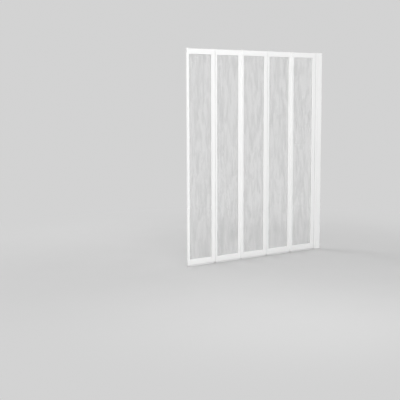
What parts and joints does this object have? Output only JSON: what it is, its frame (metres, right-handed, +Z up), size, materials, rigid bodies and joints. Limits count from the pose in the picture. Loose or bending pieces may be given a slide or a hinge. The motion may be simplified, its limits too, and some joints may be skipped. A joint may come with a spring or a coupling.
{
  "type": "folding bath screen",
  "caption": "Concertina bath screen: white framed clear panels on full-height hinges, a wall profile at one end and soft seals on the bath rim.",
  "frame": {"origin": "on the wall face at the height of the bath rim, in the mid-plane of the panels", "axes": "+X into the wall, so the screen runs to -X; -Y towards the room; +Z up"},
  "size_m": [1.152, 0.028, 1.4],
  "materials": {
    "white_frame": "white powder coat on extruded aluminium",
    "white_plastic": "satin white moulding",
    "pane": "clear sheet with vertical rain relief",
    "seal": "soft pale grey seal",
    "steel": "stainless"
  },
  "bodies": {
    "wall_mount": {"wall_profile": "white_frame", "wall_profile_cap": "white_plastic", "adjusting_profile": "white_frame", "adjuster_hinge_caps": "white_plastic", "adjuster_hinge_pins": "steel", "adjuster_wiper_seal": "seal", "fixing_screws": "steel"},
    "panel_5": {"panel_5_left_stile": "white_frame", "panel_5_right_stile": "white_frame", "panel_5_top_rail": "white_frame", "panel_5_bottom_rail": "white_frame", "panel_5_pane": "pane", "panel_5_pane_gasket": "seal", "panel_5_frame_screws": "steel", "panel_5_end_caps": "white_plastic", "panel_5_hinge_pins": "steel", "panel_5_wiper_seal": "seal", "panel_5_bottom_seal": "seal"},
    "panel_4": {"panel_4_left_stile": "white_frame", "panel_4_right_stile": "white_frame", "panel_4_top_rail": "white_frame", "panel_4_bottom_rail": "white_frame", "panel_4_pane": "pane", "panel_4_pane_gasket": "seal", "panel_4_frame_screws": "steel", "panel_4_end_caps": "white_plastic", "panel_4_hinge_pins": "steel", "panel_4_wiper_seal": "seal", "panel_4_bottom_seal": "seal"},
    "panel_3": {"panel_3_left_stile": "white_frame", "panel_3_right_stile": "white_frame", "panel_3_top_rail": "white_frame", "panel_3_bottom_rail": "white_frame", "panel_3_pane": "pane", "panel_3_pane_gasket": "seal", "panel_3_frame_screws": "steel", "panel_3_end_caps": "white_plastic", "panel_3_hinge_pins": "steel", "panel_3_wiper_seal": "seal", "panel_3_bottom_seal": "seal"},
    "panel_2": {"panel_2_left_stile": "white_frame", "panel_2_right_stile": "white_frame", "panel_2_top_rail": "white_frame", "panel_2_bottom_rail": "white_frame", "panel_2_pane": "pane", "panel_2_pane_gasket": "seal", "panel_2_frame_screws": "steel", "panel_2_end_caps": "white_plastic", "panel_2_hinge_pins": "steel", "panel_2_wiper_seal": "seal", "panel_2_bottom_seal": "seal"},
    "panel_1": {"panel_1_left_stile": "white_frame", "panel_1_right_stile": "white_frame", "panel_1_top_rail": "white_frame", "panel_1_bottom_rail": "white_frame", "panel_1_pane": "pane", "panel_1_pane_gasket": "seal", "panel_1_frame_screws": "steel", "panel_1_end_caps": "white_plastic", "panel_1_bottom_seal": "seal"}
  },
  "joints": [
    {"name": "wall_swing", "type": "hinge", "parent": "wall_mount", "child": "panel_5", "pos_m": [-0.0625, 0.0085, 0.7], "axis": [0, 0, -1], "range_deg": [0, 90]},
    {"name": "fold_4", "type": "hinge", "parent": "panel_5", "child": "panel_4", "pos_m": [-0.2815, -0.0085, 0.7], "axis": [0, 0, 1], "range_deg": [0, 175]},
    {"name": "fold_3", "type": "hinge", "parent": "panel_4", "child": "panel_3", "pos_m": [-0.5005, 0.0085, 0.7], "axis": [0, 0, -1], "range_deg": [0, 175]},
    {"name": "fold_2", "type": "hinge", "parent": "panel_3", "child": "panel_2", "pos_m": [-0.7195, -0.0085, 0.7], "axis": [0, 0, 1], "range_deg": [0, 175]},
    {"name": "fold_1", "type": "hinge", "parent": "panel_2", "child": "panel_1", "pos_m": [-0.9385, 0.0085, 0.7], "axis": [0, 0, -1], "range_deg": [0, 175]}
  ]
}
